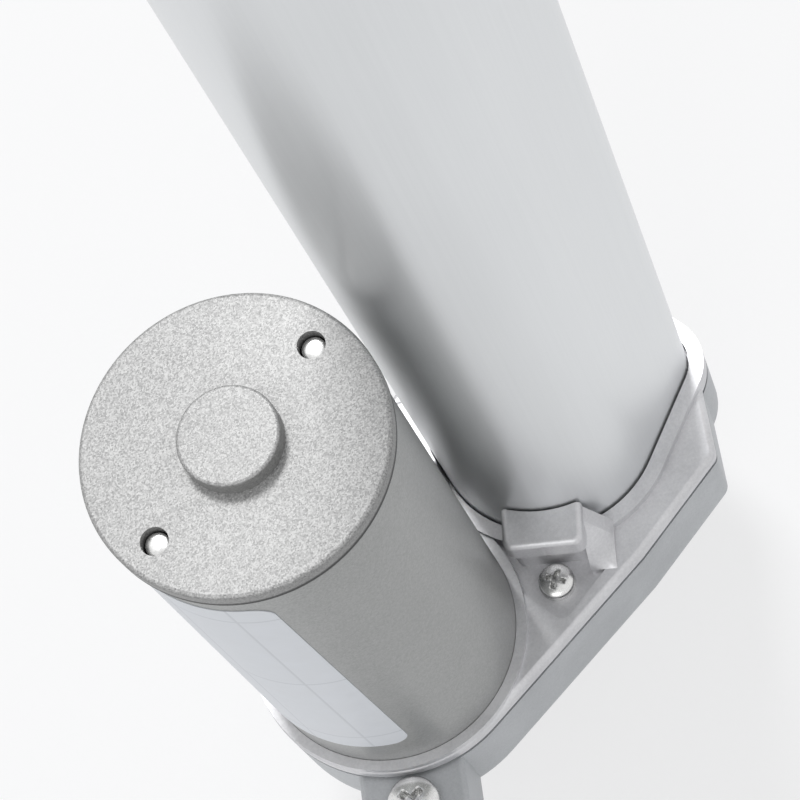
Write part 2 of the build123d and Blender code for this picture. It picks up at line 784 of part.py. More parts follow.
# Tube: one extrusion with a round bore, a channel for the switches and two screw ports
with BuildPart() as outer_tube:
    with BuildSketch(Plane.XY.offset(seat_z)):
        add(tube_outline.sketch)
        Circle(bore_radius, mode=Mode.SUBTRACT)
        with BuildSketch(mode=Mode.PRIVATE) as channel:
            with Locations((channel_depth / 2, 0)):
                Rectangle(channel_depth, channel_width)
            fillet(channel.vertices().group_by(Axis.X)[-1], channel_corner)
        add(channel.sketch, mode=Mode.SUBTRACT)
        with Locations(port_spots):
            Circle(port_radius, mode=Mode.SUBTRACT)
    extrude(amount=tube_end_z - seat_z)
finish(outer_tube.part, "outer_tube")

with BuildPart() as tube_screws:
    with BuildSketch(Plane.XY.offset(front_z)):
        with Locations(port_spots):
            Circle(tube_screw_head)
    extrude(amount=-tube_screw_head_depth)
    with BuildSketch(Plane.XY.offset(front_z)):
        with Locations(port_spots):
            Circle(port_radius)
    extrude(amount=tube_screw_length)
finish(tube_screws.part, "tube_screws")

# Front cap with its guide bush and wiper
with BuildPart() as front_cap:
    with BuildSketch(Plane.XY.offset(tube_end_z)):
        with BuildSketch(mode=Mode.PRIVATE) as cap_outline:
            add(tube_outline.sketch)
            offset(amount=front_cap_overhang)
        add(cap_outline.sketch)
    extrude(amount=front_cap_thickness)
    fillet(front_cap.edges().group_by(Axis.Z)[-1], front_cap_edge)
    with BuildSketch(Plane.XY.offset(tube_end_z)):
        Circle(bore_radius - slip_fit)
    extrude(amount=-front_spigot)
    with Locations((0, 0, front_cap_top_z)):
        Hole(rod_radius + running_gap)
    with Locations((0, 0, front_cap_top_z)):
        Hole(wiper_radius, depth=wiper_depth)
    with BuildSketch(Plane.XY.offset(spigot_z)):
        Circle(guide_bore)
    extrude(amount=front_spigot, mode=Mode.SUBTRACT)
    with Locations(at_level(port_spots, front_cap_top_z)):
        CounterSinkHole(port_radius + slip_fit, tube_screw_head)
finish(front_cap.part, "front_cap")

with BuildPart() as rod_guide_bush:
    with BuildSketch(Plane.XY.offset(spigot_z)):
        Circle(guide_bore - slip_fit)
        Circle(rod_radius + running_fit, mode=Mode.SUBTRACT)
    extrude(amount=front_spigot)
finish(rod_guide_bush.part, "rod_guide_bush")

with BuildPart() as rod_wiper:
    with BuildSketch(Plane.XY.offset(front_cap_top_z - wiper_depth)):
        Circle(wiper_radius - slip_fit)
        Circle(rod_radius + running_fit, mode=Mode.SUBTRACT)
    extrude(amount=wiper_depth)
    with BuildSketch(Plane.XY.offset(front_cap_top_z)):
        Circle(rod_radius + wiper_lip_wall)
        Circle(rod_radius + running_fit, mode=Mode.SUBTRACT)
    extrude(amount=wiper_lip)
finish(rod_wiper.part, "rod_wiper")

with BuildPart() as front_cap_screws:
    head_radius = tube_screw_head - 2 * slip_fit
    with BuildSketch(Plane.XY.offset(front_cap_top_z)):
        with Locations(port_spots):
            Circle(head_radius)
    extrude(amount=-(head_radius - port_radius), taper=45)
    with BuildSketch(Plane.XY.offset(front_cap_top_z - weld)):
        with Locations(port_spots):
            Circle(port_radius)
    extrude(amount=-tube_screw_length)
finish(front_cap_screws.part, "front_cap_screws")

# Drive nut: a flat faces the switches, and two ears in the channel stop it turning
with BuildPart() as drive_nut:
    with BuildSketch(Plane.XY.offset(nut_z)):
        Circle(piston_radius)
        with Locations((nut_flat + piston_radius, 0)):
            Rectangle(2 * piston_radius, 2 * nut_ear_inner, mode=Mode.SUBTRACT)
        ear_tip = channel_depth - running_gap
        for side in sides:
            with Locations(((nut_flat + ear_tip) / 2, side * (nut_ear_inner + nut_ear_outer) / 2)):
                Rectangle(ear_tip - nut_flat, nut_ear_wall)
    extrude(amount=nut_length)
    with BuildSketch(Plane.XY.offset(nut_top_z)):
        Circle(rod_radius - rod_wall - slip_fit)
    extrude(amount=nut_spigot)
    with Locations((0, 0, nut_top_z + nut_spigot)):
        Hole(screw_radius + running_fit)
finish(drive_nut.part, "drive_nut")

with BuildPart() as extension_rod:
    with BuildSketch(Plane.XY.offset(nut_top_z)):
        Circle(rod_radius)
        Circle(rod_radius - rod_wall, mode=Mode.SUBTRACT)
    extrude(amount=neck_z - nut_top_z)
finish(extension_rod.part, "extension_rod")

with BuildPart() as rod_end:
    with BuildSketch(Plane.XY.offset(neck_z)):
        Circle(rod_radius - rod_wall - slip_fit)
    extrude(amount=-rod_end_spigot)
    with BuildSketch(Plane.XY.offset(neck_z)):
        Circle(rod_radius)
    extrude(amount=neck_length)
    with BuildSketch(Plane.XZ):
        with Locations((0, front_eye_z)):
            Circle(eye_radius)
        with Locations((0, front_eye_z - eye_radius / 2)):
            Rectangle(2 * eye_radius, eye_radius)
    extrude(amount=eye_thickness / 2, both=True)
    with BuildSketch(Plane.XZ):
        with Locations((0, front_eye_z)):
            Circle(eye_bore / 2)
    extrude(amount=eye_thickness, both=True, mode=Mode.SUBTRACT)
finish(rod_end.part, "rod_end")

# Limit switches
board_x = channel_depth - slip_fit - board_thickness
board_width = 2 * (nut_ear_inner - running_gap)
switch_x = nut_flat + switch_gap
plunger_x = nut_flat + plunger_clearance
with BuildPart() as switch_board:
    with BuildSketch(Plane.XY.offset(nut_z - board_tail)):
        with Locations((board_x + board_thickness / 2, 0)):
            Rectangle(board_thickness, board_width)
    extrude(amount=board_tail + nut_length + stroke + board_head)
finish(switch_board.part, "switch_board")

for level, rise in (("lower", 0), ("upper", stroke)):
    z = nut_z + nut_length / 2 + rise
    with BuildPart() as limit_switch:
        with BuildSketch(Plane.XY.offset(z - switch_height / 2)):
            with Locations(((switch_x + board_x) / 2, 0)):
                Rectangle(board_x - switch_x, board_width - 2 * switch_inset)
        extrude(amount=switch_height)
        with BuildSketch(Plane.YZ.offset(plunger_x)):
            with Locations((0, z)):
                Circle(plunger_radius + running_fit)
        extrude(amount=plunger_length + plunger_travel + end_play, mode=Mode.SUBTRACT)
    finish(limit_switch.part, f"{level}_limit_switch")
    with BuildPart() as switch_plunger:
        with BuildSketch(Plane.YZ.offset(plunger_x)):
            with Locations((0, z)):
                Circle(plunger_radius)
        extrude(amount=plunger_length)
    finish(switch_plunger.part, f"{level}_switch_plunger")
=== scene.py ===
# Electric linear actuator: the finish of every surface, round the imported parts
import math

import bmesh
import bpy
import numpy as np
from mathutils import Matrix, Vector


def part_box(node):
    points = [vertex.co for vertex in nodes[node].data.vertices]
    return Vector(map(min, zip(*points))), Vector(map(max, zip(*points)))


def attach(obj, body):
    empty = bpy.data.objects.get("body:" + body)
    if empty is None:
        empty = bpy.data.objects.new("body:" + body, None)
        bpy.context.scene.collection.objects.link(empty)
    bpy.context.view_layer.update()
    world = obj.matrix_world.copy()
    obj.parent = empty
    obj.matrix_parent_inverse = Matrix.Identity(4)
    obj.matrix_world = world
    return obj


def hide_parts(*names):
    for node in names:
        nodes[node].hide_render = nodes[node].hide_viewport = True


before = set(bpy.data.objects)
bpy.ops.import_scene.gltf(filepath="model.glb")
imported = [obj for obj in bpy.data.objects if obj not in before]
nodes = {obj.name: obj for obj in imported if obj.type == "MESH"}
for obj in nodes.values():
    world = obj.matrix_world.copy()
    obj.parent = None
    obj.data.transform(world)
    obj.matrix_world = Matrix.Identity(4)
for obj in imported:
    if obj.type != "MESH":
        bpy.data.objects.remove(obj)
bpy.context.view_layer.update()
print("stage: frame loaded,", len(nodes), "parts")

# Camera, from above the motor's end
view = {
    "place": (-0.06837, -0.13490, 0.39078),  # metres
    "looksAlong": (0.15107, 0.38932, -0.90863),
    "upwards": (0.77596, 0.52276, 0.35300),
    "lens": 129.6,  # millimetres, as is the sensor
    "sensor": 36.0,
    "nearest": 0.01,  # metres
}


def addCamera():
    # Columns of the turn: right, up and backwards
    ahead = Vector(view["looksAlong"]).normalized()
    right = ahead.cross(Vector(view["upwards"])).normalized()
    up = right.cross(ahead)
    made = bpy.data.objects.new("camera", bpy.data.cameras.new("camera"))
    made.data.lens = view["lens"]
    made.data.sensor_width = view["sensor"]
    made.data.clip_start = view["nearest"]
    made.data.dof.use_dof = False
    turn = Matrix((right, up, -ahead)).transposed().to_4x4()
    made.matrix_world = Matrix.Translation(view["place"]) @ turn
    bpy.context.scene.collection.objects.link(made)
    bpy.context.scene.camera = made


addCamera()
bpy.context.scene.view_settings.view_transform = "Standard"
print("stage: camera")


class Signal:
    # One value of a material, from a socket; arithmetic on it adds Math nodes
    def __init__(self, shader, socket):
        self.shader = shader
        self.socket = socket

    def combine(self, operation, first, second):
        return self.shader.node("Math", {"operation": operation}, {0: first, 1: second})

    def __add__(self, other):
        return self.combine("ADD", self, other)

    def __radd__(self, other):
        return self.combine("ADD", other, self)

    def __sub__(self, other):
        return self.combine("SUBTRACT", self, other)

    def __rsub__(self, other):
        return self.combine("SUBTRACT", other, self)

    def __mul__(self, other):
        return self.combine("MULTIPLY", self, other)

    def __rmul__(self, other):
        return self.combine("MULTIPLY", other, self)


class Shader:
    # The nodes of a material, or of the world when it is given one
    def __init__(self, name, world=None):
        self.material = world or bpy.data.materials.new(name)
        self.material.use_nodes = True
        self.tree = self.material.node_tree
        self.tree.nodes.clear()

    def node(self, kind, settings=None, inputs=None, output=0):
        # Settings go first, because some of them change the sockets
        made = self.tree.nodes.new("ShaderNode" + kind)
        for key, value in (settings or {}).items():
            setattr(made, key, value)
        for key, value in (inputs or {}).items():
            socket = made.inputs[key]
            if isinstance(value, Signal):
                self.tree.links.new(value.socket, socket)
            elif socket.type == "RGBA":
                socket.default_value = (*value, 1.0)
            else:
                socket.default_value = value
        return Signal(self, made.outputs[output]) if made.outputs else None

    def blendColours(self, share, first, second):
        return self.node("Mix", {"data_type": "RGBA"}, {0: share, 6: first, 7: second}, 2)

    def remap(self, value, low, high, toLow=0.0, toHigh=1.0):
        sockets = {"Value": value, "From Min": low, "From Max": high, "To Min": toLow, "To Max": toHigh}
        return self.node("MapRange", {"clamp": True}, sockets)

    def objectPlace(self, stretch=(1.0, 1.0, 1.0)):
        # Object coordinates, stretched along each axis
        raw = self.node("TexCoord", output="Object")
        return self.node("VectorMath", {"operation": "MULTIPLY"}, {0: raw, 1: stretch})

    def noise(self, place, perMetre, detail=2.0, roughness=0.5):
        sockets = {"Vector": place, "Scale": perMetre, "Detail": detail, "Roughness": roughness}
        return self.node("TexNoise", {}, sockets)

    def bump(self, height, strength, distance):
        return self.node("Bump", {}, {"Height": height, "Strength": strength, "Distance": distance})

    def surface(self, colour, metallic, roughness, normal):
        sockets = {"Base Color": colour, "Metallic": metallic, "Roughness": roughness, "Normal": normal}
        self.node("OutputMaterial", {}, {"Surface": self.node("BsdfPrincipled", {}, sockets)})
        return self.material

    def seenDirectly(self):
        # 1 on rays from the camera and on those that a mirror or glass sends on, else 0
        kinds = ("Is Camera Ray", "Is Glossy Ray", "Is Transmission Ray")
        total = sum(self.node("LightPath", output=kind) for kind in kinds)
        return self.remap(total, 0.0, 1.0)


def partPoints(name):
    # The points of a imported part, one per row
    points = np.empty(3 * len(nodes[name].data.vertices))
    nodes[name].data.vertices.foreach_get("co", points)
    return points.reshape(-1, 3)


# A painted shadow line along the joint between the cap and the can; past also finds the joint's height
capJointShadow = {
    "past": 0.0001,  # metres; the cap's skirt lies at least this far outside the can
    "half": 0.0008,  # metres from the joint to where its painted shadow line starts to fade
    "fades": 0.0012,
    "ragged": 0.0002,
    "cover": 0.95,
    "colour": (0.02, 0.02, 0.02),
}
canLow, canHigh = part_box("motor_can")
motorX = (canLow.x + canHigh.x) / 2
canRadius = (canHigh.x - canLow.x) / 2
capPoints = partPoints("motor_end_cap")
outside = np.hypot(capPoints[:, 0] - motorX, capPoints[:, 1]) > canRadius + capJointShadow["past"]
jointHeight = float(capPoints[outside, 2].min())
print("stage: the cap meets the can at", round(jointHeight, 5), "and the can ends at", round(canHigh.z, 5))

patterns = {
    "noiseSpan": (0.3, 0.7),  # where most values of one noise lie
    "mixedSpan": (0.35, 0.65),  # where most values of a mix of two lie
    "paintSpan": (0.4, 1.2),  # the same for the paint's mix of flakes, soft spots and clouds
    "softSpots": 0.7,  # for each flake's width
    "paintClouds": 45.0,  # per metre
    "mouldedClouds": 90.0,  # per metre
    "uprightBelow": 0.25,  # the normal's rise, below which a surface counts as upright and takes the paint's full painted shade
    "levelAbove": 0.85,  # and above which it counts as level and takes no painted shade
}


def paintFinish(name, look):
    # Silver paint with flakes: each cell of a fine pattern is lighter or darker than its neighbours.
    # Upright surfaces are darkened as painted shade, and the joint between the cap and the can gets a painted
    # shadow line
    s = Shader(name)
    place = s.objectPlace()
    cells = s.node("TexVoronoi", {}, {"Vector": place, "Scale": 1.0 / look["flake"]}, "Color")
    flake = s.node("SeparateColor", {}, {"Color": cells})
    soft = s.noise(place, patterns["softSpots"] / look["flake"], detail=1.0)
    broad = s.noise(place, patterns["paintClouds"])
    tone = s.remap(0.5 * flake + 0.8 * soft + 0.3 * broad, *patterns["paintSpan"])
    rise = s.node("SeparateXYZ", {}, {0: s.node("TexCoord", output="Normal")}, 2)
    # Painted shade: surfaces that face sideways are blended towards the shade colour
    paintedUprightShade = s.remap(rise, patterns["uprightBelow"], patterns["levelAbove"], look["paintedUprightShade"], 0.0)
    height = s.node("SeparateXYZ", {}, {0: place}, 2)
    # Painted shadow: a near-black line along the joint between the cap and the can
    fromJoint = s.node("Math", {"operation": "ABSOLUTE"}, {0: height - jointHeight})
    ragged = fromJoint + capJointShadow["ragged"] * soft
    jointShadow = s.remap(ragged, capJointShadow["half"], capJointShadow["fades"], capJointShadow["cover"], 0.0)
    colour = s.blendColours(tone, look["dark"], look["light"])
    colour = s.blendColours(paintedUprightShade, colour, look["shade"])
    colour = s.blendColours(jointShadow, colour, capJointShadow["colour"])
    rough = s.remap(soft, *patterns["noiseSpan"], *look["roughness"])
    normal = s.bump(0.5 * flake + soft, strength=0.5, distance=look["bump"])
    return s.surface(colour, look["metallic"], rough, normal)


def castFinish(name, look):
    # Die-cast metal: slow clouds of tone over a fine skin
    s = Shader(name)
    place = s.objectPlace()
    clouds = s.noise(place, look["clouds"], detail=3.0)
    skin = s.noise(place, look["skin"], roughness=0.6)
    tone = s.remap(0.6 * clouds + 0.4 * skin, *patterns["mixedSpan"])
    colour = s.blendColours(tone, look["dark"], look["light"])
    rough = s.remap(clouds, *patterns["noiseSpan"], *look["roughness"])
    normal = s.bump(skin + 0.4 * clouds, strength=0.4, distance=look["bump"])
    return s.surface(colour, look["metallic"], rough, normal)


def drawnFinish(name, look):
    # Extruded, drawn or ground metal: fine lines along one axis, and slow clouds of tone
    s = Shader(name)
    lines = s.noise(s.objectPlace(look["stretch"]), look["lines"], detail=3.0, roughness=0.6)
    clouds = s.noise(s.objectPlace(), look["clouds"])
    both = 0.5 * lines + 0.5 * clouds
    tone = s.remap(both, *patterns["mixedSpan"])
    colour = s.blendColours(tone, look["dark"], look["light"])
    rough = s.remap(both, *patterns["mixedSpan"], *look["roughness"])
    normal = s.bump(lines, strength=0.3, distance=look["bump"])
    return s.surface(colour, look["metallic"], rough, normal)


def mouldedFinish(name, look):
    # Moulded plastic or rubber: a faint grain, and a little change of gloss
    s = Shader(name)
    place = s.objectPlace()
    grain = s.noise(place, look["grain"])
    clouds = s.noise(place, patterns["mouldedClouds"])
    tone = s.remap(0.5 * grain + 0.5 * clouds, *patterns["mixedSpan"])
    colour = s.blendColours(tone, look["dark"], look["light"])
    rough = s.remap(clouds, *patterns["noiseSpan"], *look["roughness"])
    normal = s.bump(grain, strength=0.35, distance=look["bump"])
    return s.surface(colour, 0.0, rough, normal)


# Flake, one flake's width, and bump are metres. Clouds, skin, lines and grain are counted per metre, and
# stretch shortens or lengthens the pattern's lines along each axis
looks = {
    # capPaint's upright sides take painted shade; canPaint's share of it is 0
    "capPaint": (paintFinish, {
        "dark": (0.22, 0.22, 0.22), "light": (0.61, 0.61, 0.605), "flake": 0.00016, "metallic": 0.42,
        "paintedUprightShade": 0.5, "shade": (0.19, 0.19, 0.185), "roughness": (0.44, 0.56), "bump": 0.000009}),
    "canPaint": (paintFinish, {
        "dark": (0.29, 0.295, 0.29), "light": (0.42, 0.425, 0.42), "flake": 0.00019, "metallic": 0.6,
        "paintedUprightShade": 0.0, "shade": (0.3, 0.3, 0.3), "roughness": (0.34, 0.42), "bump": 0.000004}),
    "frontCasting": (castFinish, {
        "dark": (0.58, 0.58, 0.595), "light": (0.72, 0.72, 0.735), "clouds": 150.0, "skin": 2600.0,
        "metallic": 0.72, "roughness": (0.38, 0.47), "bump": 0.000012}),
    "rearCasting": (castFinish, {
        "dark": (0.46, 0.475, 0.49), "light": (0.57, 0.585, 0.60), "clouds": 120.0, "skin": 3200.0,
        "metallic": 0.45, "roughness": (0.46, 0.60), "bump": 0.00004}),
    "forkCasting": (castFinish, {
        "dark": (0.46, 0.46, 0.47), "light": (0.62, 0.62, 0.63), "clouds": 140.0, "skin": 2600.0,
        "metallic": 0.8, "roughness": (0.30, 0.44), "bump": 0.00003}),
    "ferrite": (castFinish, {
        "dark": (0.06, 0.06, 0.065), "light": (0.12, 0.12, 0.125), "clouds": 200.0, "skin": 3000.0,
        "metallic": 0.2, "roughness": (0.55, 0.7), "bump": 0.00003}),
    "carbon": (castFinish, {
        "dark": (0.02, 0.02, 0.02), "light": (0.06, 0.06, 0.06), "clouds": 300.0, "skin": 4000.0,
        "metallic": 0.1, "roughness": (0.5, 0.7), "bump": 0.00003}),
    "anodised": (drawnFinish, {
        "dark": (0.745, 0.76, 0.77), "light": (0.775, 0.79, 0.80), "stretch": (1.0, 1.0, 0.01),
        "lines": 2200.0, "clouds": 25.0, "metallic": 0.78, "roughness": (0.32, 0.35), "bump": 0.000001}),
    "chrome": (drawnFinish, {
        "dark": (0.70, 0.70, 0.71), "light": (0.75, 0.75, 0.76), "stretch": (0.05, 0.05, 1.0),
        "lines": 3000.0, "clouds": 40.0, "metallic": 1.0, "roughness": (0.13, 0.17), "bump": 0.000001}),
    "zinc": (drawnFinish, {
        "dark": (0.58, 0.58, 0.58), "light": (0.82, 0.82, 0.81), "stretch": (1.0, 1.0, 1.0),
        "lines": 1800.0, "clouds": 300.0, "metallic": 0.95, "roughness": (0.20, 0.32), "bump": 0.000008}),
    "groundSteel": (drawnFinish, {
        "dark": (0.42, 0.42, 0.44), "light": (0.60, 0.60, 0.62), "stretch": (0.05, 0.05, 1.0),
        "lines": 3500.0, "clouds": 120.0, "metallic": 1.0, "roughness": (0.22, 0.36), "bump": 0.000004}),
    "laminations": (drawnFinish, {
        "dark": (0.20, 0.20, 0.21), "light": (0.42, 0.42, 0.44), "stretch": (0.02, 0.02, 1.0),
        "lines": 2000.0, "clouds": 120.0, "metallic": 0.9, "roughness": (0.35, 0.5), "bump": 0.00003}),
    "bronze": (drawnFinish, {
        "dark": (0.44, 0.29, 0.14), "light": (0.66, 0.47, 0.26), "stretch": (0.1, 0.1, 1.0),
        "lines": 2500.0, "clouds": 200.0, "metallic": 0.9, "roughness": (0.3, 0.45), "bump": 0.00001}),
    "copper": (drawnFinish, {
        "dark": (0.42, 0.14, 0.06), "light": (0.78, 0.36, 0.17), "stretch": (1.0, 1.0, 0.3),
        "lines": 2200.0, "clouds": 300.0, "metallic": 0.85, "roughness": (0.25, 0.4), "bump": 0.00002}),
    "gasket": (mouldedFinish, {
        "dark": (0.055, 0.062, 0.072), "light": (0.10, 0.11, 0.125), "grain": 3000.0,
        "roughness": (0.6, 0.8), "bump": 0.00002}),
    "rubber": (mouldedFinish, {
        "dark": (0.018, 0.018, 0.018), "light": (0.045, 0.045, 0.045), "grain": 2500.0,
        "roughness": (0.5, 0.7), "bump": 0.00002}),
    "acetal": (mouldedFinish, {
        "dark": (0.72, 0.70, 0.63), "light": (0.84, 0.82, 0.76), "grain": 2000.0,
        "roughness": (0.35, 0.5), "bump": 0.00001}),
    "blueNylon": (mouldedFinish, {
        "dark": (0.05, 0.08, 0.15), "light": (0.10, 0.15, 0.26), "grain": 2000.0,
        "roughness": (0.35, 0.5), "bump": 0.00001}),
    "blackNylon": (mouldedFinish, {
        "dark": (0.02, 0.02, 0.022), "light": (0.045, 0.045, 0.05), "grain": 2500.0,
        "roughness": (0.4, 0.55), "bump": 0.00001}),
    "solderMask": (mouldedFinish, {
        "dark": (0.02, 0.12, 0.055), "light": (0.04, 0.19, 0.09), "grain": 1800.0,
        "roughness": (0.3, 0.45), "bump": 0.000006}),
    "brownResin": (mouldedFinish, {
        "dark": (0.12, 0.09, 0.06), "light": (0.20, 0.16, 0.11), "grain": 1800.0,
        "roughness": (0.45, 0.6), "bump": 0.00001}),
    "ivoryNylon": (mouldedFinish, {
        "dark": (0.62, 0.60, 0.55), "light": (0.78, 0.77, 0.72), "grain": 2500.0,
        "roughness": (0.3, 0.4), "bump": 0.000005}),
}
finishes = {name: make(name, look) for name, (make, look) in looks.items()}

finishOfNodes = {
    "capPaint": ["motor_end_cap"],
    "canPaint": ["motor_can"],
    "frontCasting": ["front_housing", "front_cap"],
    "rearCasting": ["rear_housing"],
    "forkCasting": ["rod_end"],
    "ferrite": ["motor_magnets"],
    "carbon": ["carbon_brushes"],
    "anodised": ["outer_tube"],
    "chrome": ["extension_rod"],
    "zinc": ["housing_screws", "ear_screw", "motor_bolts", "tube_screws", "front_cap_screws"],
    "groundSteel": ["lead_screw", "idler_axle", "bearing_outer_ring", "bearing_inner_ring", "motor_shaft",
                    "motor_end_plate"],
    "laminations": ["armature_core"],
    "bronze": ["screw_bush", "motor_pinion", "motor_front_bush", "motor_rear_bush"],
    "copper": ["armature_windings", "commutator"],
    "gasket": ["housing_gasket"],
    "rubber": ["rod_wiper"],
    "acetal": ["idler_gear", "screw_wheel"],
    "blueNylon": ["drive_nut"],
    "blackNylon": ["rod_guide_bush", "lower_limit_switch", "upper_limit_switch"],
    "solderMask": ["switch_board"],
    "brownResin": ["brush_holder"],
    "ivoryNylon": ["lower_switch_plunger", "upper_switch_plunger"],
}
for finish, members in finishOfNodes.items():
    for name in members:
        nodes[name].data.materials.clear()
        nodes[name].data.materials.append(finishes[finish])
print("stage: finishes on the parts")


def meshFromGrids(name, grids, uv=None, closed=True, crease=40.0):
    # Each grid of points, rows by columns, becomes quads between neighbours; points that meet are then joined
    corners, start = [], 0
    for grid in grids:
        rows, columns = grid.shape[:2]
        index = start + np.arange(rows * columns).reshape(rows, columns)
        around = (index[:-1, :-1], index[:-1, 1:], index[1:, 1:], index[1:, :-1])
        corners.append(np.stack(around, axis=-1).reshape(-1, 4))
        start += rows * columns
    corners = np.concatenate(corners)
    points = np.concatenate([grid.reshape(-1, 3) for grid in grids])
    mesh = bpy.data.meshes.new(name)
    mesh.from_pydata(points.tolist(), [], corners.tolist())
    if uv is not None:
        layer = mesh.uv_layers.new(name="surface")
        layer.data.foreach_set("uv", uv.reshape(-1, 2)[corners.ravel()].astype(np.float32).ravel())
    joinWithin = 1e-7  # metres
    work = bmesh.new()
    work.from_mesh(mesh)
    bmesh.ops.remove_doubles(work, verts=work.verts, dist=joinWithin)
    bmesh.ops.dissolve_degenerate(work, edges=work.edges, dist=joinWithin)
    if closed:
        bmesh.ops.recalc_face_normals(work, faces=work.faces)
    work.to_mesh(mesh)
    work.free()
    mesh.polygons.foreach_set("use_smooth", np.ones(len(mesh.polygons), dtype=bool))
    mesh.set_sharp_from_angle(angle=math.radians(crease))
    return mesh


def addPiece(name, mesh, finish, body, instead=None):
    made = bpy.data.objects.new(name, mesh)
    bpy.context.scene.collection.objects.link(made)
    mesh.materials.append(finish)
    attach(made, body)
    if instead:
        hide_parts(instead)


label = {
    "low": 0.0382,  # metres above the rear eye
    "high": 0.0990,
    "edge": -132.3,  # degrees round the motor, at the upper end of the edge that faces the camera
    "skew": 8.0,  # degrees gained towards the lower end
    "span": 118.0,  # degrees
    "corner": 0.0026,  # metres, as is the thickness
    "thickness": 0.00009,
    "steps": (90, 72),  # points along the motor and round it
    "paper": (0.76, 0.785, 0.82),
    "brighter": 1.05,  # the paper's lightest clouds
    "clouds": 300.0,  # per metre
    "ink": (0.40, 0.42, 0.45),
    "cover": 0.3,
    "columns": (0.20, 0.42, 0.64, 0.86),  # places of the faint rules, as shares of the width and height
    "rows": (0.08, 0.5, 0.93),
    "ruleWidths": (0.006, 0.004),  # of the upright and the level rules, as the same shares
    "roughness": (0.38, 0.5),
    "bump": 0.00001,  # metres
}


def labelMesh():
    # A patch of the can's cylinder; the corner's circle draws in each row's ends near the top and bottom
    rows, columns = label["steps"]
    corner, height = label["corner"], label["high"] - label["low"]
    way = np.sin(np.linspace(-math.pi / 2, math.pi / 2, rows)) * 0.5 + 0.5
    z = label["low"] + height * way
    toEnd = np.minimum(z - label["low"], label["high"] - z)
    drawnIn = corner - np.sqrt(np.clip(corner**2 - np.clip(corner - toEnd, 0, None) ** 2, 0, None))
    width = math.radians(label["span"]) * canRadius
    across = np.linspace(-1, 1, columns)[None, :] * (width / 2 - drawnIn)[:, None]
    middle = math.radians(label["edge"]) - width / 2 / canRadius + math.radians(label["skew"]) * (1 - way)
    # The outermost ring of points goes down to the can, so the paper's edge is closed
    angle = np.pad(middle[:, None] + across / canRadius, 1, mode="edge")
    z = np.pad(np.repeat(z[:, None], columns, 1), 1, mode="edge")
    radius = np.pad(np.full((rows, columns), canRadius + label["thickness"]), 1, constant_values=canRadius)
    points = np.stack([motorX + radius * np.cos(angle), radius * np.sin(angle), z], axis=-1)
    u = np.pad(across / width + 0.5, 1, mode="edge")
    v = np.pad(np.repeat(way[:, None], columns, 1), 1, mode="edge")
    return meshFromGrids("label", [points], np.stack([u, v], axis=-1), closed=False)


def labelFinish():
    # Pale vinyl with faint rules; each rule is a narrow band of the patch's own coordinates
    s = Shader("labelVinyl")
    raw = s.node("TexCoord", output="UV")
    ink = 0.0
    for axis, (places, width) in enumerate(zip((label["columns"], label["rows"]), label["ruleWidths"])):
        along = s.node("SeparateXYZ", {}, {0: raw}, axis)
        for at in places:
            off = s.node("Math", {"operation": "ABSOLUTE"}, {0: along - at})
            ink = s.remap(off, width * 0.5, width, 1.0, 0.0) + ink
    clouds = s.noise(s.objectPlace(), label["clouds"], detail=3.0)
    bright = tuple(part * label["brighter"] for part in label["paper"])
    paper = s.blendColours(s.remap(clouds, *patterns["noiseSpan"]), label["paper"], bright)
    colour = s.blendColours(s.remap(ink, 0.0, 1.0, 0.0, label["cover"]), paper, label["ink"])
    rough = s.remap(clouds, *patterns["noiseSpan"], *label["roughness"])
    normal = s.bump(clouds, strength=0.2, distance=label["bump"])
    return s.surface(colour, 0.0, rough, normal)


addPiece("motor_label", labelMesh(), labelFinish(), "root")
print("stage: label")

# Metres, with head and shank as radii, and turn in radians. Dome is how far the head's rim lies below its
# middle, rise how far its underside does, recess the cross's depth and thread the thread's
screws = {
    "housing_screws": {"head": 0.0025, "rise": 0.0020, "shank": 0.0015, "turn": 0.5, "dome": 0.0013,
                       "recess": 0.0012, "thread": 0.00018},
    "ear_screw": {"head": 0.0036, "rise": 0.0024, "shank": 0.0020, "turn": 0.2, "dome": 0.0015,
                  "recess": 0.0015, "thread": 0.00018},
    "front_cap_screws": {"head": 0.0022, "rise": 0.0010, "shank": 0.0012, "turn": 0.8, "dome": 0.0,
                         "recess": 0.0006, "thread": 0.00018},
    "motor_bolts": {"head": 0.00145, "rise": 0.0008, "shank": 0.00145, "turn": 0.0, "dome": 0.00035,
                    "recess": 0.0, "thread": 0.0},
}
everyScrew = {
    "armLength": 0.56,  # the cross's arms, in shares of the head's radius
    "armHalf": 0.15,
    "armEnd": 0.35,  # how much of an arm's length and of its half width is slope
    "armSide": 0.5,
    "domePowers": (0.92, 0.7),  # of the dome's radius and height; 1 and 1 would be a plain ellipse
    "pitch": 0.0006,  # metres
    "turnByPlace": 9.0,  # radians for each metre along Y, so that no two crosses line up
    "apart": 0.008,  # metres; a part that reaches further is two screws
    "headRings": 32,
    "shankRings": 90,
    "columns": 96,
}


def screwProfile(size, length):
    # A domed head is an ellipse's quarter with its powers changed, then a straight side and a level
    # underside; a flat head tapers to the shank. The heights count down from the head's top
    share = np.linspace(0, 1, everyScrew["headRings"])
    headR, headZ, under = share * size["head"], 0 * share, [size["shank"]]
    if size["dome"]:
        radiusPower, heightPower = everyScrew["domePowers"]
        headR = size["head"] * np.sin(share * math.pi / 2) ** radiusPower
        headZ = size["dome"] * (np.cos(share * math.pi / 2) ** heightPower - 1)
        under = [size["head"], size["shank"]]
    shankZ = np.linspace(-size["rise"], -length, everyScrew["shankRings"])
    radii = np.concatenate([headR, under, np.full(len(shankZ), size["shank"]), [0.0]])
    heights = np.concatenate([headZ, np.full(len(under), -size["rise"]), shankZ, [-length]])
    return radii[:, None], heights[:, None], shankZ[1:-1, None]


